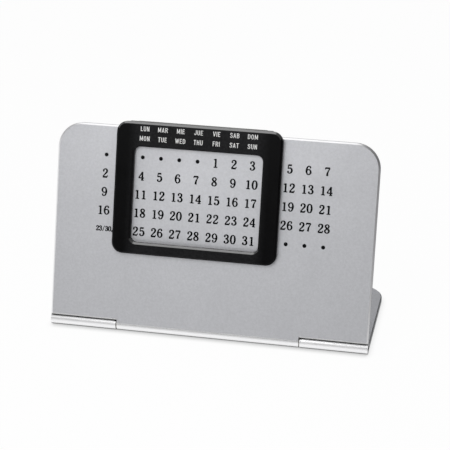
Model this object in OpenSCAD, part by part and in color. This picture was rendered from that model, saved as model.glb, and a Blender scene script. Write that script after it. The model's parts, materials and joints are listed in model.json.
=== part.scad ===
// Perpetual desk calendar: a hinged aluminium stand whose front plate carries a number grid,
// and a framed slider that hooks over the plate's top edge and is moved to suit the month.
// X runs along the hinge, Y to the back, Z up. The stand rests on Z = 0.

/* [Front plate] */
// Width of the plate and of the base leaf
plate_w = 122; // [116:0.5:150]
// Height of the plate above the hinge axis, along its face
plate_h = 75.8; // [70:0.1:90]
// Thickness of the plate
plate_t = 2; // [1.8:0.1:2.2]
// Radius of the two top corners
plate_corner_r = 9.5; // [4:0.5:12]
// Chamfer round the front edge of the plate
plate_chamfer = 0.6; // [0.2:0.05:0.8]
// Angle that the plate leans back from upright when it stands
lean = 20; // [10:1:35]

/* [Base leaf] */
// Depth of the leaf behind the hinge axis
leaf_d = 46; // [40:0.5:54]
// Thickness of the leaf
leaf_t = 2; // [1.5:0.1:2.1]
// Radius of the two rear corners
leaf_corner_r = 8.5; // [3:0.5:12]
// Chamfer round the top edge of the leaf
leaf_chamfer = 0.4; // [0.2:0.05:0.6]

/* [Hinge] */
// Radius of the outer knuckles
knuckle_r = 2.3; // [2.25:0.05:2.6]
// How far the plate's face stands in front of the centre knuckle
face_step = 0.2; // [0.1:0.05:0.3]
// Height of the face's lower edge above the hinge axis, over the centre knuckle
face_foot = 0.7; // [0.3:0.05:0.9]
// Height of the face's lower edge above the hinge axis, over the outer knuckles
notch_foot = 2.35; // [1.9:0.05:2.6]
// Length of the centre knuckle
centre_knuckle_l = 70; // [50:1:80]
// How much smaller the centre knuckle's radius is, so that it clears the desk
desk_clearance = 0.05; // [0.02:0.01:0.1]
// Gap between the centre knuckle's ends and the outer knuckles
knuckle_gap = 0.4; // [0.35:0.05:0.6]
// Gap round a knuckle where the other leaf is cut back
relief_gap = 0.35; // [0.25:0.05:0.4]
// Radius of the hinge pin
pin_r = 1; // [0.8:0.05:1.1]
// How far the pin's ends lie inside the outer knuckles' ends
pin_inset = 0.4; // [0.1:0.1:1]
// Chamfer on the pin's ends
pin_chamfer = 0.2; // [0.1:0.05:0.3]
// Outer radius of the friction bushes
bush_r = 1.6; // [1.5:0.05:1.7]
// Running clearance between a bush and the pin, on the radius
bush_fit = 0.03; // [0.01:0.01:0.05]
// Length of a bush inside the centre knuckle
bush_l = 12; // [6:1:20]
// Thickness of a bush's flange, which spaces the knuckles
bush_flange_t = 0.3; // [0.2:0.05:0.3]
// How far the flange's rim lies inside the knuckle's outside
bush_flange_inset = 0.3; // [0.1:0.05:0.4]

/* [Number grid and slider] */
// Distance between neighbouring columns of numbers, which is one step of the slider
column_pitch = 7; // [6.5:0.1:7]
// Columns that the window shows
window_columns = 7; // [7:1:7]
// Columns printed on the plate
grid_columns = 13; // [13:1:13]
// Place of the slider's middle on the plate
slider_rest = -6.5; // [-14:0.1:14]
// Width of the slider
slider_w = 62.9; // [60:0.1:66]
// Height of the slider
slider_h = 49.75; // [46:0.05:54]
// Radius of the slider's corners
slider_corner_r = 4; // [2:0.1:6]
// Thickness of the slider's front frame
bezel_t = 2; // [1.6:0.1:2.4]
// Chamfer round the frame's front edges
bezel_chamfer = 0.7; // [0.3:0.05:0.8]
// Width of the window
window_w = 48.8; // [46:0.1:50]
// Height of the window
window_h = 36.15; // [34:0.05:39]
// Radius of the window's corners
window_corner_r = 2.4; // [1:0.1:4]
// Height of the bar under the window
bottom_bar_h = 4.45; // [3.5:0.05:6]
// Gap between the frame's back and the plate's face
bezel_gap = 0.3; // [0.2:0.05:0.5]
// Gap between the hook and the plate's top edge
hook_gap = 0.15; // [0.1:0.05:0.3]
// Wall of the hook over the plate's top edge
hook_wall = 1.85; // [1.6:0.05:2.2]

/* [Slider back] */
// Width of the rear half of the slider
back_w = 54; // [50:0.5:58]
// Height of the rear half of the slider
back_h = 20; // [16:0.5:22]
// Thickness of the rear half of the slider
back_t = 1.6; // [1.4:0.1:1.8]
// Gap between the slider's back and the plate
back_gap = 0.2; // [0.15:0.05:0.3]
// Radius of the lower corners of the slider's back
back_corner_r = 3; // [1:0.5:4]
// Chamfer round the rear edges of the slider's back
back_chamfer = 0.3; // [0.1:0.05:0.4]
// Length of the rib that runs in the plate's groove
rib_l = 40; // [30:1:46]
// Height of the rib
rib_h = 2; // [1.5:0.1:2.5]
// How deep the groove in the plate's back is
groove_depth = 0.8; // [0.6:0.05:0.9]
// Clearance between the rib and the groove, on every side
groove_fit = 0.15; // [0.1:0.05:0.25]
// Distance of the rib's middle below the plate's top edge
rib_drop = 8.5; // [6:0.5:10]
// Radius of the stakes that join the slider's halves
stake_r = 0.5; // [0.4:0.05:0.55]
// Clearance round a stake in its hole, on the radius
stake_fit = 0.05; // [0.02:0.01:0.08]
// Radius of a stake's head
stake_head_r = 0.85; // [0.8:0.05:0.9]
// Thickness of a stake's head
stake_head_t = 0.35; // [0.2:0.05:0.5]
// Number of stakes
stake_count = 4; // [2:1:6]
// Length of the spring finger
finger_l = 12; // [8:1:14]
// Height of the spring finger
finger_h = 5; // [3:0.5:6]
// Wall left below the finger's slot
finger_wall = 0.9; // [0.6:0.1:2]
// Width of the slot round the finger
finger_slot = 0.6; // [0.5:0.1:1]
// Radius of the rounded tip of the finger that presses on the plate
finger_tip_r = 1.5; // [1:0.1:2]
// Gap that the finger's tip leaves at rest
finger_tip_gap = 0.05; // [0.02:0.01:0.1]

/* [Glide strips and pad] */
// Length of the glide strips
strip_l = 54; // [40:1:56]
// Height of the upper glide strip
strip_top_h = 4; // [2:0.5:5]
// Height of the lower glide strip
strip_bottom_h = 2.4; // [1.5:0.1:2.8]
// Thickness of the glide strips
strip_t = 0.25; // [0.1:0.05:0.25]
// Corner radius of the glide strips
strip_corner_r = 0.8; // [0.3:0.1:1]
// Length of the anti-slip strip under the leaf
pad_l = 96; // [60:1:104]
// Depth of the anti-slip strip
pad_d = 8; // [5:0.5:12]
// Thickness of the anti-slip strip
pad_t = 0.5; // [0.4:0.05:0.5]
// Corner radius of the anti-slip strip
pad_corner_r = 2; // [1:0.5:2.4]
// Distance of the anti-slip strip from the leaf's rear edge
pad_inset = 4; // [3:0.5:10]

/* [Hidden] */
$fn = 64;

barrel_r = knuckle_r - desk_clearance;      // radius of the centre knuckle
plate_n = barrel_r + face_step;             // plate's face in front of the hinge axis
back_n = plate_n - plate_t;                 // plate's back in front of the hinge axis
relief_r = knuckle_r + relief_gap;          // room cut round a knuckle
body_mid_y = (leaf_d - knuckle_r) / 2;      // middle of the footprint behind the hinge axis
outer_knuckle_l = (plate_w - centre_knuckle_l) / 2 - knuckle_gap;
slider_top = plate_h + hook_gap + hook_wall;
slider_mid = slider_top - slider_h / 2;
bezel_n = plate_n + bezel_gap;              // back of the slider's frame
window_mid = slider_top - slider_h + bottom_bar_h + window_h / 2;
hook_n = back_n - back_gap;                 // where the slider's halves meet
travel = (grid_columns - window_columns) / 2 * column_pitch;
rib_mid = plate_h - rib_drop;
groove_l = 2 * travel + rib_l + 2 * groove_fit;
stake_v = slider_top - hook_wall / 2;
stake_step = (back_w - 2 * slider_corner_r) / (stake_count - 1);
finger_mid = slider_top - back_h + finger_wall + finger_slot + finger_h / 2;
eps = 0.01;

// Colours
satin_aluminium = [0.74, 0.745, 0.76];
black_plastic = [0.07, 0.07, 0.075];
pin_steel = [0.6, 0.6, 0.62];
nylon = [0.9, 0.89, 0.85];
grey_felt = [0.3, 0.3, 0.31];
black_rubber = [0.12, 0.12, 0.12];

// Puts the origin in the middle of the footprint.
module centred() {
    translate([0, -body_mid_y, 0]) children();
}

// Frame of the hinge: X along the hinge axis, which is the origin.
module at_hinge() {
    centred() translate([0, 0, knuckle_r]) children();
}

// Frame of the leaning plate: X across it, Y up its face, Z out of its face.
module on_plate() {
    at_hinge() rotate([90 - lean, 0, 0]) children();
}

// Frame of the slider, in which X is zero at the slider's middle.
module on_slider() {
    on_plate() translate([slider_rest, 0, 0]) children();
}

// Cylinder along X from x0, as long as l.
module rod(x0, l, r) {
    translate([x0, 0, 0]) rotate([0, 90, 0]) cylinder(h = l, r = r);
}

// Rectangle with round corners, about the origin.
module round_rect(w, h, r) {
    square([w, h - 2 * r], center = true);
    square([w - 2 * r, h], center = true);
    for (x = [-1, 1], y = [-1, 1])
        translate([x * (w / 2 - r), y * (h / 2 - r)]) circle(r);
}

// Flat slab with round corners and a chamfer c round its upper edge.
module slab(w, h, r, t, c) {
    linear_extrude(t - c) round_rect(w, h, r);
    translate([0, 0, t - c]) {
        for (x = [-1, 1], y = [-1, 1])
            translate([x * (w / 2 - r), y * (h / 2 - r), 0]) cylinder(h = c, r1 = r, r2 = r - c);
        rotate([90, 0, 0]) bevelled_bar(w, h - 2 * r, c);
        rotate([90, 0, 90]) bevelled_bar(h, w - 2 * r, c);
    }
}

// Bar of trapezium section, w wide at its foot, drawn upright and centred on its length.
module bevelled_bar(w, l, c) {
    linear_extrude(l, center = true)
        polygon([[-w / 2, 0], [w / 2, 0], [w / 2 - c, c], [-w / 2 + c, c]]);
}

// Everything at and above Y = 0 of the children.
module upper_half(size) {
    intersection() {
        children();
        translate([-size, 0, -size]) cube(2 * size);
    }
}

module front_plate() {
    color(satin_aluminium) on_plate() difference() {
        union() {
            difference() {
                upper_half(plate_w) translate([0, 0, back_n])
                    slab(plate_w, 2 * plate_h, plate_corner_r, plate_t, plate_chamfer);
                face_chamfer(-plate_w / 2, plate_w, face_foot);
            }
            rod(-centre_knuckle_l / 2, centre_knuckle_l, barrel_r);
        }
        rod(-plate_w, 2 * plate_w, bush_r);
        for (side = [-1, 1]) knuckle_relief(side);
        translate([0, rib_mid, back_n - eps]) linear_extrude(groove_depth + eps)
            square([groove_l, rib_h + 2 * groove_fit], center = true);
    }
}

// Wedge that chamfers the plate's face along its lower edge, at height v.
module face_chamfer(x0, l, v) {
    translate([x0, 0, plate_n]) rotate([90, 0, 90]) linear_extrude(l)
        polygon([[-eps, -v - eps], [v + eps, eps], [-eps, eps]]);
}

// Room round an outer knuckle, cut from the plate, with a chamfer along the edge above it.
module knuckle_relief(side) {
    x0 = side > 0 ? centre_knuckle_l / 2 : -plate_w / 2 - eps;
    l = (plate_w - centre_knuckle_l) / 2 + eps;
    rod(x0, l, relief_r);
    face_chamfer(x0, l, notch_foot);
}

module base_leaf() {
    relief_l = centre_knuckle_l + 2 * knuckle_gap;
    color(satin_aluminium) difference() {
        union() {
            centred() upper_half(plate_w) translate([0, 0, pad_t])
                slab(plate_w, 2 * leaf_d, leaf_corner_r, leaf_t, leaf_chamfer);
            at_hinge() for (x0 = [-plate_w / 2, plate_w / 2 - outer_knuckle_l])
                rod(x0, outer_knuckle_l, knuckle_r);
        }
        at_hinge() rod(-relief_l / 2, relief_l, relief_r);
        at_hinge() rod(-plate_w, 2 * plate_w, pin_r);
    }
}

module hinge_pin() {
    l = plate_w - 2 * pin_inset;
    color(pin_steel) at_hinge() {
        rod(-l / 2 + pin_chamfer, l - 2 * pin_chamfer, pin_r);
        for (side = [-1, 1])
            translate([side * (l / 2 - pin_chamfer), 0, 0]) rotate([0, side * 90, 0])
                cylinder(h = pin_chamfer, r1 = pin_r, r2 = pin_r - pin_chamfer);
    }
}

// Flanged bush at one end of the centre knuckle.
module bush(side) {
    color(nylon) on_plate() mirror([side < 0 ? 1 : 0, 0, 0]) difference() {
        union() {
            rod(centre_knuckle_l / 2 - bush_l, bush_l, bush_r);
            rod(centre_knuckle_l / 2, bush_flange_t, barrel_r - bush_flange_inset);
        }
        rod(0, plate_w, pin_r + bush_fit);
    }
}

module slider_bezel() {
    color(black_plastic) on_slider() {
        difference() {
            translate([0, slider_mid, bezel_n])
                slab(slider_w, slider_h, slider_corner_r, bezel_t, bezel_chamfer);
            translate([0, window_mid, bezel_n]) window_cutter();
        }
        hook();
        for (i = [0 : stake_count - 1]) translate([stake_x(i), stake_v, 0]) stake();
    }
}

// Window opening, which widens at the front.
module window_cutter() {
    translate([0, 0, -eps]) linear_extrude(bezel_t + 2 * eps)
        round_rect(window_w, window_h, window_corner_r);
    translate([0, 0, bezel_t]) mirror([0, 0, 1])
        slab(window_w + 2 * bezel_chamfer, window_h + 2 * bezel_chamfer,
            window_corner_r + bezel_chamfer, bezel_chamfer + eps, bezel_chamfer);
}

// Wall that reaches back over the plate's top edge, with the slider's outline.
module hook() {
    translate([0, 0, hook_n]) linear_extrude(bezel_n - hook_n) intersection() {
        translate([0, slider_mid]) round_rect(slider_w, slider_h, slider_corner_r);
        translate([-back_w / 2, slider_top - hook_wall]) square([back_w, hook_wall]);
    }
}

function stake_x(i) = -back_w / 2 + slider_corner_r + i * stake_step;

// Stake through the slider's back, with its melted head.
module stake() {
    translate([0, 0, hook_n - back_t]) cylinder(h = back_t + eps, r = stake_r);
    translate([0, 0, hook_n - back_t - stake_head_t])
        cylinder(h = stake_head_t, r1 = stake_head_r - stake_head_t / 2, r2 = stake_head_r);
}

module slider_back() {
    plate_mid = slider_top - back_h / 2;
    color(black_plastic) on_slider() {
        difference() {
            translate([0, plate_mid, hook_n]) mirror([0, 0, 1])
                slab(back_w, back_h, back_corner_r, back_t, back_chamfer);
            for (i = [0 : stake_count - 1])
                translate([stake_x(i), stake_v, hook_n - back_t - eps])
                    cylinder(h = back_t + 2 * eps, r = stake_r + stake_fit);
            translate([0, finger_mid, hook_n - back_t - eps])
                linear_extrude(back_t + 2 * eps) finger_slots();
        }
        translate([-rib_l / 2, rib_mid - rib_h / 2, hook_n - eps])
            cube([rib_l, rib_h, back_gap + groove_depth - groove_fit + eps]);
        translate([finger_l / 2 - finger_tip_r, finger_mid, hook_n]) finger_tip();
    }
}

// Slot round three sides of the spring finger.
module finger_slots() {
    slot_w = finger_h + 2 * finger_slot;
    for (side = [-1, 1])
        translate([-finger_l / 2, side * (finger_h + finger_slot) / 2 - finger_slot / 2])
            square([finger_l + finger_slot, finger_slot]);
    translate([finger_l / 2, -slot_w / 2]) square([finger_slot, slot_w]);
}

// Low dome that presses on the plate.
module finger_tip() {
    height = back_gap - finger_tip_gap;
    dome_r = (finger_tip_r * finger_tip_r + height * height) / (2 * height);
    intersection() {
        translate([0, 0, height - dome_r]) sphere(dome_r);
        translate([0, 0, -eps]) cylinder(h = height + eps, r = finger_tip_r + eps);
    }
}

// Thin strip on the back of the slider's frame.
module glide_strip(mid, h) {
    color(grey_felt) on_slider() translate([0, mid, bezel_n - strip_t])
        linear_extrude(strip_t) round_rect(strip_l, h, strip_corner_r);
}

module glide_strip_top() {
    glide_strip((window_mid + window_h / 2 + plate_h - plate_chamfer) / 2, strip_top_h);
}

module glide_strip_bottom() {
    glide_strip(slider_top - slider_h + bottom_bar_h / 2, strip_bottom_h);
}

module rear_pad() {
    color(black_rubber) centred() translate([0, leaf_d - pad_inset - pad_d / 2, 0])
        linear_extrude(pad_t) round_rect(pad_l, pad_d, pad_corner_r);
}

front_plate();
base_leaf();
hinge_pin();
bush(-1);  // bush_left
bush(1);  // bush_right
slider_bezel();
slider_back();
glide_strip_top();
glide_strip_bottom();
rear_pad();
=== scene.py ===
import json
import math

import bmesh
import bpy
from mathutils import Matrix, Vector
from mathutils.geometry import delaunay_2d_cdt


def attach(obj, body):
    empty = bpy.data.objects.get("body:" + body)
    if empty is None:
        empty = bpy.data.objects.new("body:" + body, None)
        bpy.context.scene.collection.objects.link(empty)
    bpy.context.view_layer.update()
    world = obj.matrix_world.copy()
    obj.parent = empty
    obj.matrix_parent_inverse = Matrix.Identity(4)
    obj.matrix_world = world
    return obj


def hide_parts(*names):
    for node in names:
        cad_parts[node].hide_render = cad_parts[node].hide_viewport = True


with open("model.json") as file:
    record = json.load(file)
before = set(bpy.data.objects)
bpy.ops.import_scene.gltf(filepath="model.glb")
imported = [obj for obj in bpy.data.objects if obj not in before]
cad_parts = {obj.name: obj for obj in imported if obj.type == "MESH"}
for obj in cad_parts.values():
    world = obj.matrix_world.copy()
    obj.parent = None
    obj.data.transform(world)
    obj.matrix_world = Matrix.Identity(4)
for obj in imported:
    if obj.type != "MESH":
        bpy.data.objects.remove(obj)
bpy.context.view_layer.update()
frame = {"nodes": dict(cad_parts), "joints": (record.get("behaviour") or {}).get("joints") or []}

nodes = frame["nodes"]
hinge = next(j for j in frame["joints"] if j["name"] == "plate_hinge")
hingePoint = Vector(hinge["pos_m"])

for name in ("Cube", "Light", "Camera"):  # what a new Blender file starts with
    leftover = bpy.data.objects.get(name)
    if leftover:
        bpy.data.objects.remove(leftover)

print("stage: plate frame")
# X across the plate, Y up its face from the hinge axis, Z out of its face.
plateFrame = dict(lean=math.radians(20), face=0.00245, sliderMid=-0.0065)
leanTurn = Matrix.Rotation(math.radians(90) - plateFrame["lean"], 4, "X")
onPlate = Matrix.Translation(hingePoint) @ leanTurn
onSlider = onPlate @ Matrix.Translation((plateFrame["sliderMid"], 0, 0))


def addObject(name, data):
    # At the origin, in the scene.
    made = bpy.data.objects.new(name, data)
    bpy.context.scene.collection.objects.link(made)
    return made


def feed(tree, socket, value):
    # A socket takes a link or a constant.
    if isinstance(value, bpy.types.NodeSocket):
        tree.links.new(value, socket)
    else:
        socket.default_value = value


def addNode(tree, kind, inputs=None, **settings):
    node = tree.nodes.new(kind)
    for key, value in settings.items():
        setattr(node, key, value)
    for key, value in (inputs or {}).items():
        feed(tree, node.inputs[key], value)
    return node


def calc(tree, operation, *values, clamp=False):
    node = addNode(tree, "ShaderNodeMath", operation=operation, use_clamp=clamp)
    for socket, value in zip(node.inputs, values):
        feed(tree, socket, value)
    return node.outputs[0]


def remap(tree, value, fromLow, fromHigh, toLow=0.0, toHigh=1.0):
    node = addNode(tree, "ShaderNodeMapRange", {
        "Value": value, "From Min": fromLow, "From Max": fromHigh,
        "To Min": toLow, "To Max": toHigh})
    return node.outputs[0]


def blendColours(tree, factor, first, second):
    # Inputs 6 and 7 and output 2 are the node's colours.
    node = addNode(tree, "ShaderNodeMix", {0: factor, 6: first, 7: second}, data_type="RGBA")
    return node.outputs[2]


def placeOf(tree, kind="Object"):
    return addNode(tree, "ShaderNodeTexCoord").outputs[kind]


def acrossOf(tree, place):
    # How far a place lies along X.
    return addNode(tree, "ShaderNodeSeparateXYZ", {0: place}).outputs[0]


def opennessOf(tree, reach):
    # Low in corners and close to other pieces.
    node = addNode(tree, "ShaderNodeAmbientOcclusion", {"Distance": reach}, samples=8)
    return node.outputs["AO"]


def opaque(colour):
    return (*colour, 1.0)


print("stage: shared finishes")
texture = dict(grainSize=0.0003, coarser=0.33, hillShare=0.65, pitShare=0.35,
               toneSpan=(0.38, 0.62), patchSize=0.02, patchSpan=(0.35, 0.65),
               lineWidth=0.00008, lineStretch=0.02)


def newGroup(name, sizeLabel, size, outputs):
    # A shared group that takes a place and a size.
    tree = bpy.data.node_groups.new(name, "ShaderNodeTree")
    tree.interface.new_socket("Vector", in_out="INPUT", socket_type="NodeSocketVector")
    socket = tree.interface.new_socket(sizeLabel, in_out="INPUT", socket_type="NodeSocketFloat")
    socket.default_value = size
    for label in outputs:
        tree.interface.new_socket(label, in_out="OUTPUT", socket_type="NodeSocketFloat")
    entry, leave = addNode(tree, "NodeGroupInput"), addNode(tree, "NodeGroupOutput")
    return tree, entry.outputs["Vector"], entry.outputs[sizeLabel], leave.inputs


def makeGrainGroup():
    # Fine pits and hills of a blasted or spark-eroded surface.
    tree, place, size, leave = newGroup(
        "surfaceGrain", "Grain Size", texture["grainSize"], ("Height", "Tone"))
    fineScale = calc(tree, "DIVIDE", 1.0, size)
    coarseScale = calc(tree, "DIVIDE", texture["coarser"], size)
    fine = addNode(tree, "ShaderNodeTexNoise", {
        "Vector": place, "Scale": fineScale, "Detail": 3.0, "Roughness": 0.6})
    pits = addNode(tree, "ShaderNodeTexVoronoi", {
        "Vector": place, "Scale": fineScale, "Randomness": 1.0})
    coarse = addNode(tree, "ShaderNodeTexNoise", {
        "Vector": place, "Scale": coarseScale, "Detail": 2.0})
    hills = calc(tree, "MULTIPLY", fine.outputs[0], texture["hillShare"])
    feed(tree, leave["Height"], calc(
        tree, "MULTIPLY_ADD", pits.outputs["Distance"], texture["pitShare"], hills))
    tone = calc(tree, "ADD", calc(tree, "MULTIPLY", fine.outputs[0], 0.5),
                calc(tree, "MULTIPLY", coarse.outputs[0], 0.5))
    feed(tree, leave["Tone"], remap(tree, tone, *texture["toneSpan"]))
    return tree


def makeHandlingGroup():
    # Broad uneven patches left by hands and cloths.
    tree, place, size, leave = newGroup(
        "handlingMarks", "Patch Size", texture["patchSize"], ("Mask",))
    broad = addNode(tree, "ShaderNodeTexNoise", {
        "Vector": place, "Scale": calc(tree, "DIVIDE", 1.0, size), "Detail": 3.0,
        "Distortion": 0.6})
    feed(tree, leave["Mask"], remap(tree, broad.outputs[0], *texture["patchSpan"]))
    return tree


def makeLineGroup():
    # Straight fine lines that run along X, as drawing or a cutter leaves them.
    tree, place, size, leave = newGroup(
        "drawnLines", "Line Width", texture["lineWidth"], ("Lines",))
    stretched = addNode(tree, "ShaderNodeMapping", {
        "Vector": place, "Scale": (texture["lineStretch"], 1.0, 1.0)})
    lines = addNode(tree, "ShaderNodeTexNoise", {
        "Vector": stretched.outputs[0], "Scale": calc(tree, "DIVIDE", 1.0, size), "Detail": 2.0})
    feed(tree, leave["Lines"], lines.outputs[0])
    return tree


grainGroup = makeGrainGroup()
handlingGroup = makeHandlingGroup()
lineGroup = makeLineGroup()


def useGroup(tree, group, place, size):
    return addNode(tree, "ShaderNodeGroup", {0: place, 1: size}, node_tree=group).outputs


def newMaterial(name, look):
    material = bpy.data.materials.new(name)
    material.use_nodes = True
    material.diffuse_color = opaque(look["colour"])
    tree = material.node_tree
    shader = tree.nodes["Principled BSDF"]
    for label, key, plain in (
            ("Metallic", "metallic", 0.0), ("IOR", "ior", 1.5),
            ("Specular IOR Level", "specular", 0.5), ("Sheen Weight", "sheen", 0.0)):
        shader.inputs[label].default_value = look.get(key, plain)
    shader.inputs["Specular Tint"].default_value = opaque(look.get("grazingTint", (1, 1, 1)))
    return material, tree, shader, placeOf(tree)


def setSurface(tree, shader, look, colour, main, minor, height):
    # Gloss follows the main texture in full and the minor one by half.
    feed(tree, shader.inputs["Base Color"], colour)
    gloss = calc(tree, "MULTIPLY_ADD", main, look["roughSpread"], look["rough"])
    gloss = calc(tree, "MULTIPLY_ADD", minor, look["roughSpread"] * 0.5, gloss, clamp=True)
    feed(tree, shader.inputs["Roughness"], gloss)
    bump = addNode(tree, "ShaderNodeBump", {
        "Strength": look["bump"], "Distance": look["depth"], "Height": height})
    feed(tree, shader.inputs["Normal"], bump.outputs[0])


def grainyFinish(name, look):
    # Colour, gloss and relief all vary with the grain and with the broad patches.
    material, tree, shader, place = newMaterial(name, look)
    grain = useGroup(tree, grainGroup, place, look["grain"])
    patches = useGroup(tree, handlingGroup, place, look["patch"])["Mask"]
    low = [c * (1 - look["toneSpread"]) for c in look["colour"]]
    high = [min(1.0, c * (1 + look["toneSpread"])) for c in look["colour"]]
    toned = blendColours(tree, grain["Tone"], opaque(low), opaque(high))
    if "paintedSheen" in look:  # painted sheen: a band across the piece, over the top and bottom bars, gets a paler colour for the reflection they show
        band = look["paintedSheen"]
        fromMiddle = calc(tree, "SUBTRACT", acrossOf(tree, place), band["middle"])
        away = calc(tree, "ABSOLUTE", fromMiddle)
        inside = remap(
            tree, away, band["halfWidth"] + band["soft"], band["halfWidth"] - band["soft"])
        sheenTone = blendColours(tree, grain["Tone"], opaque(band["low"]), opaque(band["high"]))
        toned = blendColours(tree, inside, toned, sheenTone)
    handled = blendColours(tree, calc(tree, "MULTIPLY", patches, look["patchTone"]),
                           toned, opaque(look["patchColour"]))
    setSurface(tree, shader, look, handled, patches, grain["Tone"], grain["Height"])
    return material


def linedFinish(name, look):
    # A drawn or machined metal: fine straight lines over soft patches.
    material, tree, shader, place = newMaterial(name, look)
    lines = useGroup(tree, lineGroup, place, look["line"])["Lines"]
    patches = useGroup(tree, handlingGroup, place, look["patch"])["Mask"]
    low = [c * (1 - look["toneSpread"]) for c in look["colour"]]
    toned = blendColours(tree, lines, opaque(low), opaque(look["colour"]))
    if "gapShade" in look:  # painted shade: darker where another piece is close by, for the shadow in the hinge gap
        gapShade = look["gapShade"]
        unshaded = remap(tree, opennessOf(tree, gapShade["reach"]), gapShade["closed"], gapShade["open"])
        toned = blendColours(tree, unshaded, opaque(gapShade["colour"]), toned)
    setSurface(tree, shader, look, toned, lines, patches, lines)
    return material


blastedAluminium = grainyFinish("blasted_aluminium", dict(
    colour=(0.642, 0.647, 0.672), metallic=0.8, rough=0.56, roughSpread=0.06, grain=0.0003,
    patch=0.02, toneSpread=0.055, patchTone=0.10, patchColour=(0.54, 0.545, 0.56), bump=0.3,
    depth=0.00005))
cutMetal = dict(metallic=1.0, roughSpread=0.08, line=0.00012, patch=0.01, bump=0.15,
                depth=0.00002)
cutAluminium = linedFinish("cut_aluminium_edge", dict(
    cutMetal, colour=(0.82, 0.82, 0.83), rough=0.3, toneSpread=0.05))
# Painted shade: the plate's sides and top face and the leaf's sides get a darker colour, and the
# plate's a grey grazing tint, for the shade they show.
shadedSideLook = dict(metallic=0.8, rough=0.5, roughSpread=0.08, grain=0.00025, patch=0.01,
                toneSpread=0.06, patchTone=0.15, bump=0.3, depth=0.00004)
plateSideShaded = grainyFinish("plate_side_painted_shade", dict(
    shadedSideLook, colour=(0.50, 0.503, 0.52), patchColour=(0.42, 0.423, 0.435),
    grazingTint=(0.45, 0.45, 0.46)))
leafSideShaded = grainyFinish("leaf_side_painted_shade", dict(
    shadedSideLook, colour=(0.26, 0.262, 0.27), patchColour=(0.22, 0.222, 0.23)))
# Painted reflection: the lips are a plain white non-metal, standing in for the bright floor they
# mirror.
lipPaintedReflection = linedFinish("lip_painted_reflection", dict(
    cutMetal, colour=(0.98, 0.98, 0.98), metallic=0.0, rough=0.4, toneSpread=0.03, bump=0.1,
    depth=0.00001))
moulding = dict(colour=(0.003, 0.003, 0.0033), grain=0.00025, patch=0.012, patchTone=0.3)
# Painted sheen: the band below makes the top and bottom bars paler than the sides, for the
# reflection they show.
blackMoulding = grainyFinish("black_moulding", dict(
    moulding, specular=0.06, rough=0.3, roughSpread=0.08, toneSpread=0.25,
    patchColour=(0.005, 0.005, 0.0055), bump=0.2, depth=0.00002,
    paintedSheen=dict(middle=plateFrame["sliderMid"], halfWidth=0.0245, soft=0.0025,
               low=(0.010, 0.010, 0.0108), high=(0.023, 0.023, 0.0245))))
# The gap colour below is painted shade in the hinge gap.
turnedAluminium = linedFinish("turned_aluminium_knuckle", dict(
    cutMetal, colour=(0.97, 0.97, 0.98), rough=0.38, toneSpread=0.06,
    gapShade=dict(reach=0.0014, closed=0.64, open=0.98, colour=(0.02, 0.02, 0.021))))
# Painted highlight: the same black plastic with a stronger reflection, given only to the upper
# bevels.
upperBevelHighlight = grainyFinish("black_moulding_bevel_painted_highlight", dict(
    moulding, ior=2.0, specular=0.8, rough=0.16, roughSpread=0.05, toneSpread=0.2,
    patchColour=(0.006, 0.006, 0.0065), bump=0.1, depth=0.00001))
drawnSteel = linedFinish("drawn_steel", dict(
    colour=(0.56, 0.56, 0.58), metallic=1.0, rough=0.28, roughSpread=0.12, line=0.00005,
    patch=0.006, toneSpread=0.15, bump=0.2, depth=0.00002))
naturalNylon = grainyFinish("natural_nylon", dict(
    colour=(0.74, 0.72, 0.66), specular=0.45, rough=0.42, roughSpread=0.1, grain=0.0002,
    patch=0.004, toneSpread=0.05, patchTone=0.3, patchColour=(0.68, 0.66, 0.6), bump=0.15,
    depth=0.00002))
greyFelt = grainyFinish("grey_felt", dict(
    colour=(0.085, 0.085, 0.09), specular=0.2, sheen=0.3, rough=0.9, roughSpread=0.08,
    grain=0.00018, patch=0.003, toneSpread=0.4, patchTone=0.3, patchColour=(0.06, 0.06, 0.065),
    bump=0.8, depth=0.0001))
blackRubber = grainyFinish("black_rubber", dict(
    colour=(0.02, 0.02, 0.021), specular=0.35, rough=0.68, roughSpread=0.1, grain=0.0004,
    patch=0.01, toneSpread=0.2, patchTone=0.4, patchColour=(0.028, 0.028, 0.028), bump=0.5,
    depth=0.00006))
blackInk = grainyFinish("black_print_ink", dict(
    colour=(0.003, 0.003, 0.0035), specular=0.08, rough=0.55, roughSpread=0.08, grain=0.00015,
    patch=0.006, toneSpread=0.2, patchTone=0.2, patchColour=(0.005, 0.005, 0.006), bump=0.2,
    depth=0.00001))
whiteInk = grainyFinish("white_print_ink", dict(
    colour=(0.92, 0.92, 0.91), specular=0.4, rough=0.5, roughSpread=0.08, grain=0.00012,
    patch=0.004, toneSpread=0.06, patchTone=0.25, patchColour=(0.70, 0.70, 0.69), bump=0.2,
    depth=0.00001))


print("stage: metal and moulded pieces")
softening = dict(metal=0.00008, bezel=0.00028, bezelSteps=4, sharp=math.radians(30))
cleaning = dict(merge=1e-6, flat=math.radians(0.4))


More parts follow.
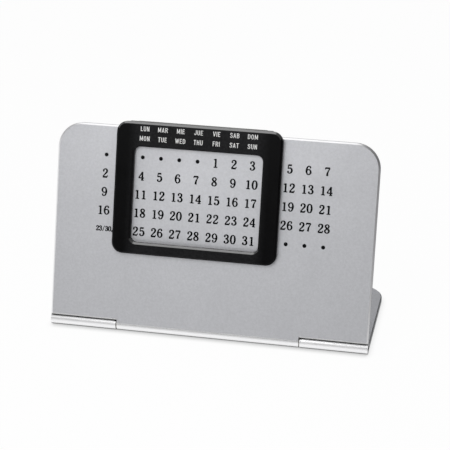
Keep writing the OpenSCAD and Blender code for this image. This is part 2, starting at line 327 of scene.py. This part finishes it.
def refinedCopy(nodeName, pieceName, body, material, edge, steps=2, others=()):
    # A copy of a solid with its doubles merged, flat faces joined and edges softened.
    # Each of the others is a test on a face's middle and normal, and a finish for what passes.
    mesh = nodes[nodeName].data.copy()
    mesh.materials.clear()
    mesh.materials.append(material)
    work = bmesh.new()
    work.from_mesh(mesh)
    bmesh.ops.remove_doubles(work, verts=work.verts, dist=cleaning["merge"])
    bmesh.ops.dissolve_limit(
        work, angle_limit=cleaning["flat"], verts=work.verts, edges=work.edges)
    for face in work.faces:
        face.smooth = True
        face.material_index = 0
    for passes, otherMaterial in others:
        mesh.materials.append(otherMaterial)
        for face in work.faces:
            if passes(face.calc_center_median(), face.normal):
                face.material_index = len(mesh.materials) - 1
    for line in work.edges:
        line.smooth = len(line.link_faces) == 2 and line.calc_face_angle(0) < softening["sharp"]
    work.to_mesh(mesh)
    work.free()
    piece = addObject(pieceName, mesh)
    soften = piece.modifiers.new("edge softening", "BEVEL")
    soften.width = edge
    soften.segments = steps
    soften.limit_method = "ANGLE"
    soften.angle_limit = softening["sharp"]
    soften.harden_normals = True
    soften.use_clamp_overlap = True
    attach(piece, body)
    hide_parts(nodeName)


# Some faces have a finish of their own: the metal's sides, darker as painted shade, cut
# chamfers, lips in plain white as a painted reflection, turned knuckles with painted shade in
# the hinge gap, and the frame's upper bevels, which reflect more as a painted highlight. All
# numbers but the reach compare directions.
faceTest = dict(knuckleReach=0.0024, slopeSlack=0.02, sideOn=0.05, lip=-0.5, upperBevel=0.3,
                leafSide=0.8, leafEnd=0.9)
plateOut = onPlate.to_3x3() @ Vector((0, 0, 1))
plateUp = onPlate.to_3x3() @ Vector((0, 1, 0))


def isChamfer(middle, normal):
    return abs(normal.dot(plateOut) - math.cos(math.radians(45))) < faceTest["slopeSlack"]


def isKnuckle(middle, normal):
    return (middle - hingePoint).yz.length < faceTest["knuckleReach"]


def isPlateSide(middle, normal):
    return abs(normal.dot(plateOut)) < faceTest["sideOn"]


def isLip(middle, normal):
    return isChamfer(middle, normal) and normal.dot(plateUp) < faceTest["lip"]


def isUpperBevel(middle, normal):
    return isChamfer(middle, normal) and normal.dot(plateUp) > faceTest["upperBevel"]


def isLeafSide(middle, normal):
    return abs(normal.z) < faceTest["leafSide"]


def isOuterKnuckle(middle, normal):
    return isKnuckle(middle, normal) and abs(normal.x) < faceTest["leafEnd"]


refinedCopy("front_plate", "front_plate_satin", "plate", blastedAluminium, softening["metal"],
            others=[(isPlateSide, plateSideShaded), (isChamfer, cutAluminium),
                    (isKnuckle, turnedAluminium), (isLip, lipPaintedReflection)])
refinedCopy("base_leaf", "base_leaf_satin", "base", blastedAluminium, softening["metal"],
            others=[(isLeafSide, leafSideShaded), (isOuterKnuckle, turnedAluminium)])
refinedCopy("slider_bezel", "slider_bezel_moulded", "slider", blackMoulding, softening["bezel"],
            steps=softening["bezelSteps"], others=[(isUpperBevel, upperBevelHighlight)])
refinedCopy("slider_back", "slider_back_moulded", "slider", blackMoulding, softening["metal"])

for nodeName, material in (
        ("hinge_pin", drawnSteel), ("bush_left", naturalNylon), ("bush_right", naturalNylon),
        ("glide_strip_top", greyFelt), ("glide_strip_bottom", greyFelt),
        ("rear_pad", blackRubber)):
    shown = nodes[nodeName].data
    shown.materials.clear()
    shown.materials.append(material)


print("stage: glyphs")
# Strokes as (x, y, width) in hundredths of the character's height. A digit is 56 wide.
digitWidth = 56
digitStrokes = {
    "0": dict(loops=[[(28, 97.5, 5), (42, 86, 10), (48, 50, 13), (42, 14, 10), (28, 2.5, 5),
                      (14, 14, 10), (8, 50, 13), (14, 86, 10)]]),
    "1": dict(lines=[[(31, 98, 12), (31, 3, 12)], [(13, 2.5, 5), (49, 2.5, 5)]],
              curves=[[(12, 85, 4), (20, 88, 6), (28, 95, 8)]]),
    "2": dict(curves=[[(9, 75, 4), (13, 89, 6), (27, 97, 6), (41, 91, 11), (46, 75, 13),
                       (40, 57, 11), (24, 35, 7), (7, 9, 6)]],
              lines=[[(5, 5.5, 11), (48, 5.5, 11)], [(46, 6, 7), (52, 25, 4)]],
              balls=[(13, 75, 12)]),
    "3": dict(curves=[[(8, 79, 4), (13, 91, 6), (26, 97, 6), (39, 91, 10), (43, 76, 12),
                       (37, 60, 9), (20, 53, 5)],
                      [(20, 53, 5), (38, 47, 9), (47, 28, 13), (41, 10, 10), (26, 2.7, 5.5),
                       (11, 8, 5), (7, 18, 4)]], balls=[(13, 79, 11), (12, 19, 12)]),
    "4": dict(lines=[[(39, 97, 6), (4, 28, 6)], [(3, 27.5, 6.5), (56, 27.5, 6.5)],
                     [(39, 98, 12), (39, 3, 12)], [(25, 2.5, 5), (54, 2.5, 5)]]),
    "5": dict(lines=[[(13, 92.5, 11), (46, 92.5, 11)], [(14, 95, 5), (12, 51, 5)]],
              curves=[[(12, 52, 5), (27, 61, 7), (42, 53, 11), (48, 32, 13), (41, 11, 10),
                       (26, 2.8, 5.5), (12, 8, 5), (8, 18, 4)]], balls=[(13, 19, 12)]),
    "6": dict(curves=[[(47, 84, 4), (41, 95, 5), (29, 97.3, 5.5), (16, 86, 9), (8, 48, 13),
                       (14, 14, 9), (28, 2.7, 5.5), (42, 12, 9), (48, 31, 12), (42, 51, 9),
                       (30, 59.5, 5.5), (17, 53, 5), (9, 38, 4)]], balls=[(43, 83, 11)]),
    "7": dict(lines=[[(8, 92, 11), (50, 92, 11)], [(9, 97, 5), (6, 75, 4)]],
              curves=[[(50, 92, 6), (39, 68, 6), (29, 38, 11), (26, 3, 15)]]),
    "8": dict(loops=[[(28, 97.3, 5.5), (15, 90, 9), (11, 76, 11), (20, 60, 12), (37, 44, 13),
                      (46, 26, 12), (40, 9, 9), (27, 2.7, 5.5), (13, 9, 9), (8, 26, 11),
                      (18, 44, 7), (36, 60, 6), (43, 77, 10), (39, 91, 8)]]),
}
smallMarks = {
    "comma": dict(lines=[[(31, 16, 14), (24, -14, 5)]], balls=[(30, 12, 17)]),
    "slash": dict(lines=[[(12, -8, 4), (44, 108, 4)]]),
}


def turnedOver(stroke):
    # Half a turn about the middle of a digit.
    return [(digitWidth - x, 100 - y, w) for x, y, w in stroke]


six = digitStrokes["6"]
digitStrokes["9"] = dict(curves=[turnedOver(stroke) for stroke in six["curves"]],
                         balls=turnedOver(six["balls"]))

# Narrow capitals: width of the character, then its strokes.
capStrokes = {
    "A": (50, dict(lines=[[(6, 0, 14), (25, 96, 14)], [(44, 0, 14), (25, 96, 14)],
                          [(12, 27, 12), (38, 27, 12)]])),
    "B": (50, dict(lines=[[(9, 0, 16), (9, 100, 16)]],
                   curves=[[(9, 93, 13), (26, 93, 13), (39, 83, 15), (39, 64, 15),
                            (26, 53, 13), (9, 53, 13)],
                           [(9, 53, 13), (27, 53, 13), (42, 42, 15), (42, 18, 15),
                            (27, 7, 13), (9, 7, 13)]])),
    "D": (50, dict(lines=[[(9, 0, 16), (9, 100, 16)]],
                   curves=[[(9, 93, 13), (24, 92, 13), (39, 80, 15), (42, 50, 16),
                            (39, 20, 15), (24, 8, 13), (9, 7, 13)]])),
    "E": (44, dict(lines=[[(9, 0, 16), (9, 100, 16)], [(9, 93, 14), (42, 93, 14)],
                          [(9, 51, 13), (38, 51, 13)], [(9, 7, 14), (42, 7, 14)]])),
    "F": (42, dict(lines=[[(9, 0, 16), (9, 100, 16)], [(9, 93, 14), (41, 93, 14)],
                          [(9, 51, 13), (37, 51, 13)]])),
    "H": (50, dict(lines=[[(9, 0, 16), (9, 100, 16)], [(41, 0, 16), (41, 100, 16)],
                          [(9, 51, 13), (41, 51, 13)]])),
    "I": (18, dict(lines=[[(9, 0, 16), (9, 100, 16)]])),
    "J": (42, dict(curves=[[(33, 100, 16), (33, 60, 16), (33, 26, 16), (28, 11, 14),
                            (18, 7, 13), (9, 13, 14), (6, 30, 14)]])),
    "L": (42, dict(lines=[[(9, 0, 16), (9, 100, 16)], [(9, 7, 14), (41, 7, 14)]])),
    "M": (62, dict(lines=[[(9, 0, 15), (9, 100, 15)], [(53, 0, 15), (53, 100, 15)],
                          [(9, 98, 13), (31, 14, 13)], [(53, 98, 13), (31, 14, 13)]])),
    "N": (50, dict(lines=[[(9, 0, 15), (9, 100, 15)], [(41, 0, 15), (41, 100, 15)],
                          [(10, 98, 14), (40, 2, 14)]])),
    "O": (52, dict(loops=[[(26, 93, 13), (39, 84, 14), (43, 50, 16), (39, 16, 14),
                           (26, 7, 13), (13, 16, 14), (9, 50, 16), (13, 84, 14)]])),
    "R": (50, dict(lines=[[(9, 0, 16), (9, 100, 16)], [(27, 48, 15), (43, 0, 15)]],
                   curves=[[(9, 93, 13), (27, 93, 13), (41, 82, 15), (41, 62, 15),
                            (27, 49, 13), (9, 49, 13)]])),
    "S": (48, dict(curves=[[(42, 70, 14), (38, 87, 14), (24, 93, 13), (11, 86, 14),
                            (9, 71, 15), (21, 56, 15), (35, 43, 15), (40, 27, 15),
                            (36, 12, 14), (23, 7, 13), (10, 13, 14), (7, 30, 14)]])),
    "T": (46, dict(lines=[[(23, 0, 16), (23, 100, 16)], [(1, 93, 14), (45, 93, 14)]])),
    "U": (50, dict(curves=[[(9, 100, 16), (9, 60, 16), (9, 27, 16), (14, 12, 14),
                            (25, 7, 13), (36, 12, 14), (41, 27, 16), (41, 60, 16),
                            (41, 100, 16)]])),
    "V": (50, dict(lines=[[(6, 100, 15), (25, 4, 15)], [(44, 100, 15), (25, 4, 15)]])),
    "W": (70, dict(lines=[[(6, 100, 14), (20, 3, 14)], [(35, 92, 13), (20, 3, 13)],
                          [(35, 92, 13), (50, 3, 13)], [(64, 100, 14), (50, 3, 14)]])),
}


def smoothPath(knots, closed, steps=5):
    # Catmull-Rom through the knots, with the width carried along.
    count = len(knots)

    def knot(i):
        return knots[i % count] if closed else knots[min(max(i, 0), count - 1)]

    path = []
    for i in range(count if closed else count - 1):
        around = [knot(i + k) for k in (-1, 0, 1, 2)]
        for step in range(steps):
            t = step / steps
            path.append(tuple(
                0.5 * (2 * b + (c - a) * t + (2 * a - 5 * b + 4 * c - d) * t * t
                       + (3 * b - a - 3 * c + d) * t ** 3)
                for a, b, c, d in zip(*around)))
    return path if closed else path + [tuple(knots[-1])]


def ribbon(path, closed):
    # Quads on both sides of a path.
    sides = []
    for i, (x, y, width) in enumerate(path):
        before = path[i - 1] if closed or i else path[i]
        after = path[(i + 1) % len(path)] if closed or i < len(path) - 1 else path[i]
        along = Vector((after[0] - before[0], after[1] - before[1])).normalized()
        across = Vector((-along.y, along.x)) * width / 2
        sides.append((Vector((x, y)) + across, Vector((x, y)) - across))
    pairs = zip(sides, sides[1:] + sides[:1]) if closed else zip(sides, sides[1:])
    return [[a[0], a[1], b[1], b[0]] for a, b in pairs]


glyphMaking = dict(ballHalf=9, allTriangles=0, planeMerge=1e-9, merge=1e-4,
                   flat=math.radians(3))


def ball(x, y, width):
    turns = [a * math.pi / glyphMaking["ballHalf"] for a in range(2 * glyphMaking["ballHalf"])]
    return [Vector((x + width / 2 * math.cos(a), y + width / 2 * math.sin(a))) for a in turns]


def glyphMesh(name, strokes, look):
    # One closed thin solid: the strokes are merged in the plane, then given their thickness.
    height = look["height"]

    def inked(stroke):
        return [(x * look["widen"], 50 + (y - 50) * look["squash"],
                 w * look["gain"] + look["extra"]) for x, y, w in stroke]

    outlines = []
    for kind, curved, closed in (
            ("lines", False, False), ("curves", True, False), ("loops", True, True)):
        for stroke in strokes.get(kind, []):
            path = inked(stroke)
            outlines += ribbon(smoothPath(path, closed) if curved else path, closed)
    outlines += [ball(*place) for place in inked(strokes.get("balls", []))]
    points, loops = [], []
    for outline in outlines:
        loops.append(tuple(range(len(points), len(points) + len(outline))))
        points += [p * (height / 100) for p in outline]
    # Triangles that belong to no outline are holes or lie outside.
    spots, _, triangles, _, _, owners = delaunay_2d_cdt(
        points, [], loops, glyphMaking["allTriangles"], glyphMaking["planeMerge"])
    work = bmesh.new()
    corners = [work.verts.new((p.x, p.y, 0)) for p in spots]
    for triangle, owner in zip(triangles, owners):
        if owner:
            work.faces.new([corners[i] for i in triangle])
    bmesh.ops.delete(work, geom=[v for v in work.verts if not v.link_faces], context="VERTS")
    bmesh.ops.remove_doubles(work, verts=work.verts, dist=height * glyphMaking["merge"])
    bmesh.ops.dissolve_limit(
        work, angle_limit=glyphMaking["flat"], verts=work.verts, edges=work.edges)
    raised = bmesh.ops.extrude_face_region(work, geom=list(work.faces))
    bmesh.ops.translate(work, vec=(0, 0, look["ink"]),
                        verts=[v for v in raised["geom"] if isinstance(v, bmesh.types.BMVert)])
    bmesh.ops.recalc_face_normals(work, faces=work.faces)
    mesh = bpy.data.meshes.new(name)
    work.to_mesh(mesh)
    work.free()
    return mesh


print("stage: number grid")
daysPerWeek = 7
numberGrid = dict(columns=13, rows=5, pitch=0.007, firstRow=0.06448, firstValue=-5, lastDay=31,
                  advance=0.0025, digitShift=-0.00022, dotRadius=0.00075, dotCorners=24,
                  smallAdvance=0.00119, smallShift=0.00016, commaStep=2.75)
digitLook = dict(height=0.00346, widen=1.14, squash=0.95, gain=1.2, extra=5.5, ink=0.000015)
smallLook = dict(digitLook, height=0.00190, extra=10.0)
# Blender sorts the glyphs by name: ten large digits, ten small ones, then the small marks.
glyphPlace = dict(small=10, comma=20, slash=21)


def makeGridTree():
    # Lays the days, the doubled days of the last row and the dots on their grid.
    tree = bpy.data.node_groups.new("numberGridLayout", "GeometryNodeTree")
    tree.interface.new_socket("Geometry", in_out="OUTPUT", socket_type="NodeSocketGeometry")
    sockets = dict(Int=("Columns", "Rows", "First Value", "Last Day"),
                   Float=("Pitch", "Advance", "Digit Shift", "Small Shift", "Small Advance",
                          "Dot Radius", "Ink Thickness"),
                   Collection=("Digits",), Material=("Ink",))
    for kind, labels in sockets.items():
        for label in labels:
            tree.interface.new_socket(label, in_out="INPUT", socket_type="NodeSocket" + kind)
    size = addNode(tree, "NodeGroupInput").outputs

    def do(operation, *values):
        return calc(tree, operation, *values)

    def offset(axis, distance):
        return addNode(tree, "ShaderNodeCombineXYZ", {axis: distance}).outputs[0]

    columns = size["Columns"]
    index = addNode(tree, "GeometryNodeInputIndex").outputs[0]
    column = do("MODULO", index, columns)
    row = do("FLOOR", do("DIVIDE", index, columns))
    value = do("ADD", do("MULTIPLY_ADD", row, float(daysPerWeek), column), size["First Value"])
    middle = do("DIVIDE", do("SUBTRACT", columns, 1.0), 2.0)
    x = do("MULTIPLY", do("SUBTRACT", column, middle), size["Pitch"])
    y = do("MULTIPLY", do("MULTIPLY", row, -1.0), size["Pitch"])
    place = addNode(tree, "ShaderNodeCombineXYZ", {"X": x, "Y": y}).outputs[0]
    cells = addNode(tree, "GeometryNodePoints", {
        "Count": do("MULTIPLY", columns, size["Rows"]), "Position": place}).outputs[0]
    # Values are whole numbers, so 0.5 and 9.5 lie safely between two of them.
    afterLast = do("ADD", size["Last Day"], 1.0)
    isDay = do("MULTIPLY", do("GREATER_THAN", value, 0.5), do("LESS_THAN", value, afterLast))
    following = do("ADD", value, float(daysPerWeek))
    nextWeek = do("LESS_THAN", following, afterLast)
    lastRow = do("COMPARE", row, do("SUBTRACT", size["Rows"], 1.0), 0.1)
    doubled = do("MULTIPLY", do("MULTIPLY", isDay, nextWeek), lastRow)
    single = do("SUBTRACT", isDay, doubled)
    twoFigures = do("GREATER_THAN", value, 9.5)
    glyphs = addNode(tree, "GeometryNodeCollectionInfo", {
        "Collection": size["Digits"], "Separate Children": True}).outputs[0]
    joined = addNode(tree, "GeometryNodeJoinGeometry")

    def tensOf(number):
        return do("FLOOR", do("DIVIDE", number, 10.0))

    def onesOf(number):
        return do("MODULO", number, 10.0)

    def placeGlyphs(select, glyph, shift):
        # Digits are drawn about their middle, and moved sideways by shift.
        moved = addNode(tree, "GeometryNodeSetPosition", {
            "Geometry": cells, "Offset": offset("X", shift)})
        stamp = addNode(tree, "GeometryNodeInstanceOnPoints", {
            "Points": moved.outputs[0], "Selection": select, "Instance": glyphs,
            "Pick Instance": True, "Instance Index": glyph})
        feed(tree, joined.inputs[0], stamp.outputs[0])

    half = do("MULTIPLY", do("MULTIPLY", size["Advance"], 0.5), twoFigures)
    placeGlyphs(do("MULTIPLY", single, twoFigures), tensOf(value),
                do("SUBTRACT", size["Digit Shift"], half))
    placeGlyphs(single, onesOf(value), do("ADD", size["Digit Shift"], half))

    def smallDigit(digit):
        return do("ADD", digit, float(glyphPlace["small"]))

    comma, slash = (addNode(tree, "FunctionNodeInputInt", integer=glyphPlace[mark]).outputs[0]
                    for mark in ("comma", "slash"))
    for step, glyph in ((-2, smallDigit(tensOf(value))), (-1, smallDigit(onesOf(value))),
                        (0, slash), (1, smallDigit(tensOf(following))),
                        (2, smallDigit(onesOf(following))), (numberGrid["commaStep"], comma)):
        placeGlyphs(doubled, glyph, do(
            "MULTIPLY_ADD", size["Small Advance"], float(step), size["Small Shift"]))
    dot = addNode(tree, "GeometryNodeMeshCylinder", {
        "Vertices": numberGrid["dotCorners"], "Radius": size["Dot Radius"],
        "Depth": size["Ink Thickness"]}).outputs[0]
    lifted = addNode(tree, "GeometryNodeTransform", {
        "Geometry": dot, "Translation": offset("Z", do("MULTIPLY", size["Ink Thickness"], 0.5))})
    dots = addNode(tree, "GeometryNodeInstanceOnPoints", {
        "Points": cells, "Selection": do("SUBTRACT", 1.0, isDay), "Instance": lifted.outputs[0]})
    feed(tree, joined.inputs[0], dots.outputs[0])
    real = addNode(tree, "GeometryNodeRealizeInstances", {"Geometry": joined.outputs[0]})
    inked = addNode(tree, "GeometryNodeSetMaterial", {
        "Geometry": real.outputs[0], "Material": size["Ink"]})
    addNode(tree, "NodeGroupOutput", {0: inked.outputs[0]})
    return tree


def makeNumberGrid(body, toPlace):
    holder = bpy.data.collections.new("digits")
    glyphObjects = []
    for size, strokes, look in (("large", digitStrokes, digitLook),
                                ("small", {**digitStrokes, **smallMarks}, smallLook)):
        middle = digitWidth / 2 / 100 * look["height"] * look["widen"]
        for key in strokes:
            mesh = glyphMesh(size + "_" + key, strokes[key], look)
            mesh.transform(Matrix.Translation((-middle, -0.5 * look["height"], 0)))
            glyph = bpy.data.objects.new(size + "_" + key, mesh)
            holder.objects.link(glyph)
            glyphObjects.append(glyph)
    carrier = addObject("grid_carrier", bpy.data.meshes.new("grid_carrier"))
    tree = makeGridTree()
    layout = carrier.modifiers.new("number grid", "NODES")
    layout.node_group = tree
    values = {"Columns": numberGrid["columns"], "Rows": numberGrid["rows"],
              "First Value": numberGrid["firstValue"], "Last Day": numberGrid["lastDay"],
              "Pitch": numberGrid["pitch"], "Advance": numberGrid["advance"],
              "Digit Shift": numberGrid["digitShift"], "Small Shift": numberGrid["smallShift"],
              "Small Advance": numberGrid["smallAdvance"], "Dot Radius": numberGrid["dotRadius"],
              "Ink Thickness": digitLook["ink"], "Digits": holder, "Ink": blackInk}
    for socket in tree.interface.items_tree:
        if socket.item_type == "SOCKET" and socket.in_out == "INPUT":
            layout[socket.identifier] = values[socket.name]
    bpy.context.view_layer.update()
    evaluated = carrier.evaluated_get(bpy.context.evaluated_depsgraph_get())
    mesh = bpy.data.meshes.new_from_object(evaluated)
    for helper in (carrier, *glyphObjects):
        bpy.data.objects.remove(helper)
    bpy.data.collections.remove(holder)
    mesh.name = "printed_numbers"
    mesh.transform(toPlace)
    piece = addObject("printed_numbers", mesh)
    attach(piece, body)


firstRowPlace = Matrix.Translation((0, numberGrid["firstRow"], plateFrame["face"]))
makeNumberGrid("plate", onPlate @ firstRowPlace)


print("stage: weekday names")
weekdayNames = dict(upper=("LUN", "MAR", "MIE", "JUE", "VIE", "SAB", "DOM"),
                    lower=("MON", "TUE", "WED", "THU", "FRI", "SAT", "SUN"),
                    spacing=10, upperMiddle=0.07541, lowerMiddle=0.07179, pitch=0.0068,
                    shift=-0.00016, face=0.00475)
letterLook = dict(height=0.0018, widen=1.17, squash=1.0, gain=0.92, extra=0.0, ink=0.000015)


def addWord(work, word, x, y):
    # Letters side by side, centred on x.
    unit = letterLook["height"] * letterLook["widen"] / 100
    total = sum(capStrokes[c][0] for c in word) + weekdayNames["spacing"] * (len(word) - 1)
    cursor = x - total * unit / 2
    for letter in word:
        width, strokes = capStrokes[letter]
        mesh = glyphMesh("letter", strokes, letterLook)
        mesh.transform(Matrix.Translation((cursor, y - letterLook["height"] / 2, 0)))
        work.from_mesh(mesh)
        bpy.data.meshes.remove(mesh)
        cursor += (width + weekdayNames["spacing"]) * unit


work = bmesh.new()
for i in range(daysPerWeek):
    middle = (i - daysPerWeek // 2) * weekdayNames["pitch"] + weekdayNames["shift"]
    for line in ("upper", "lower"):
        addWord(work, weekdayNames[line][i], middle, weekdayNames[line + "Middle"])
mesh = bpy.data.meshes.new("printed_weekdays")
work.to_mesh(mesh)
work.free()
mesh.transform(onSlider @ Matrix.Translation((0, 0, weekdayNames["face"])))
mesh.materials.append(whiteInk)
weekdays = addObject("printed_weekdays", mesh)
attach(weekdays, "slider")


print("stage: floor, light and camera")
studio = dict(floorRadius=3.0, floorCorners=96, floorColour=(0.90, 0.90, 0.90), floorGlow=0.97,
              farFloor=dict(start=0.06, end=0.24, share=0.04),
              contact=dict(reach=0.0025, depth=0.5, spread=1.5),
              tent=dict(middle=0.35, leftwards=0.2))
white = (1, 1, 1, 1)


def seenDirectly(tree, rays):
    return calc(tree, "MAXIMUM", rays["Is Camera Ray"], rays["Is Transmission Ray"])


def mixShaders(tree, factor, first, second):
    node = addNode(tree, "ShaderNodeMixShader", {
        0: factor, 1: first.outputs[0], 2: second.outputs[0]})
    return node.outputs[0]


def makeFloor():
    work = bmesh.new()
    bmesh.ops.create_circle(
        work, cap_ends=True, segments=studio["floorCorners"], radius=studio["floorRadius"])
    mesh = bpy.data.meshes.new("floor")
    work.to_mesh(mesh)
    work.free()
    floor = addObject("floor", mesh)
    material = bpy.data.materials.new("pale_floor")
    material.use_nodes = True
    tree = material.node_tree
    tree.nodes.clear()
    rays = addNode(tree, "ShaderNodeLightPath").outputs
    paper = addNode(tree, "ShaderNodeBsdfDiffuse", {"Color": opaque(studio["floorColour"])})
    # Painted contact shadow: the floor's glow dims where the object is close by.
    contact = studio["contact"]
    shade = calc(tree, "POWER", calc(tree, "SUBTRACT", 1.0, opennessOf(tree, contact["reach"])),
                 contact["spread"])
    glow = addNode(tree, "ShaderNodeEmission", {
        "Color": white, "Strength": calc(tree, "MULTIPLY_ADD", shade, -contact["depth"], 1.0)})
    # In metal the floor darkens towards the right, where the light falls off.
    far = studio["farFloor"]
    across = acrossOf(tree, placeOf(tree))
    falloff = remap(tree, across, far["start"], far["end"], 1.0, far["share"])
    metalView = calc(tree, "MULTIPLY", rays["Is Glossy Ray"], falloff)
    plainView = calc(tree, "MULTIPLY", seenDirectly(tree, rays), studio["floorGlow"])
    addNode(tree, "ShaderNodeOutputMaterial", {
        0: mixShaders(tree, calc(tree, "MAXIMUM", plainView, metalView), paper, glow)})
    mesh.materials.append(material)


def makeSky():
    world = bpy.data.worlds.new("studio")
    bpy.context.scene.world = world
    world.use_nodes = True
    tree = world.node_tree
    tree.nodes.clear()
    rays = addNode(tree, "ShaderNodeLightPath").outputs
    backdrop = addNode(tree, "ShaderNodeBackground", {"Color": white, "Strength": 1.0})
    # The tent is brighter on the left than on the right.
    tent = studio["tent"]
    level = calc(tree, "MULTIPLY_ADD", acrossOf(tree, placeOf(tree, "Generated")),
                 -tent["leftwards"], tent["middle"])
    walls = addNode(tree, "ShaderNodeBackground", {"Color": white, "Strength": level})
    addNode(tree, "ShaderNodeOutputWorld", {
        0: mixShaders(tree, seenDirectly(tree, rays), walls, backdrop)})


lampTarget = Vector((0, -0.01, 0.04))
lamps = dict(key_lamp=dict(place=(-0.03, -0.135, 0.18), size=0.15, power=0.135),
             top_lamp=dict(place=(-0.045, 0.095, 0.30), size=0.28, power=0.212))

for name, look in lamps.items():
    lamp = bpy.data.lights.new(name, "AREA")
    lamp.shape = "DISK"
    lamp.size = look["size"]
    lamp.energy = look["power"]
    holder = addObject(name, lamp)
    holder.location = look["place"]
    towards = lampTarget - Vector(look["place"])
    holder.rotation_euler = towards.to_track_quat("-Z", "Y").to_euler()
    holder.visible_camera = False

makeFloor()
makeSky()

cameraPlace = dict(offset=(0.12598, -0.53076, 0.33134), yaw=12.591, pitch=27.648, roll=0.999,
                   lens=135.09, film=36, near=0.01, far=20)


def makeCamera():
    yaw, pitch, roll = (math.radians(cameraPlace[k]) for k in ("yaw", "pitch", "roll"))
    ahead = Vector((-math.sin(yaw) * math.cos(pitch), math.cos(yaw) * math.cos(pitch),
                    -math.sin(pitch)))
    right = Vector((math.cos(yaw), math.sin(yaw), 0))
    down = ahead.cross(right)
    across = right * math.cos(roll) + down * math.sin(roll)
    below = down * math.cos(roll) - right * math.sin(roll)
    lens = bpy.data.cameras.new("camera")
    lens.sensor_width = cameraPlace["film"]
    lens.lens = cameraPlace["lens"]
    lens.clip_start, lens.clip_end = cameraPlace["near"], cameraPlace["far"]
    camera = addObject("camera", lens)
    turn = Matrix((across, -below, -ahead)).transposed().to_4x4()
    camera.matrix_world = Matrix.Translation(hingePoint + Vector(cameraPlace["offset"])) @ turn
    bpy.context.scene.camera = camera


makeCamera()
bpy.context.scene.view_settings.view_transform = "Standard"
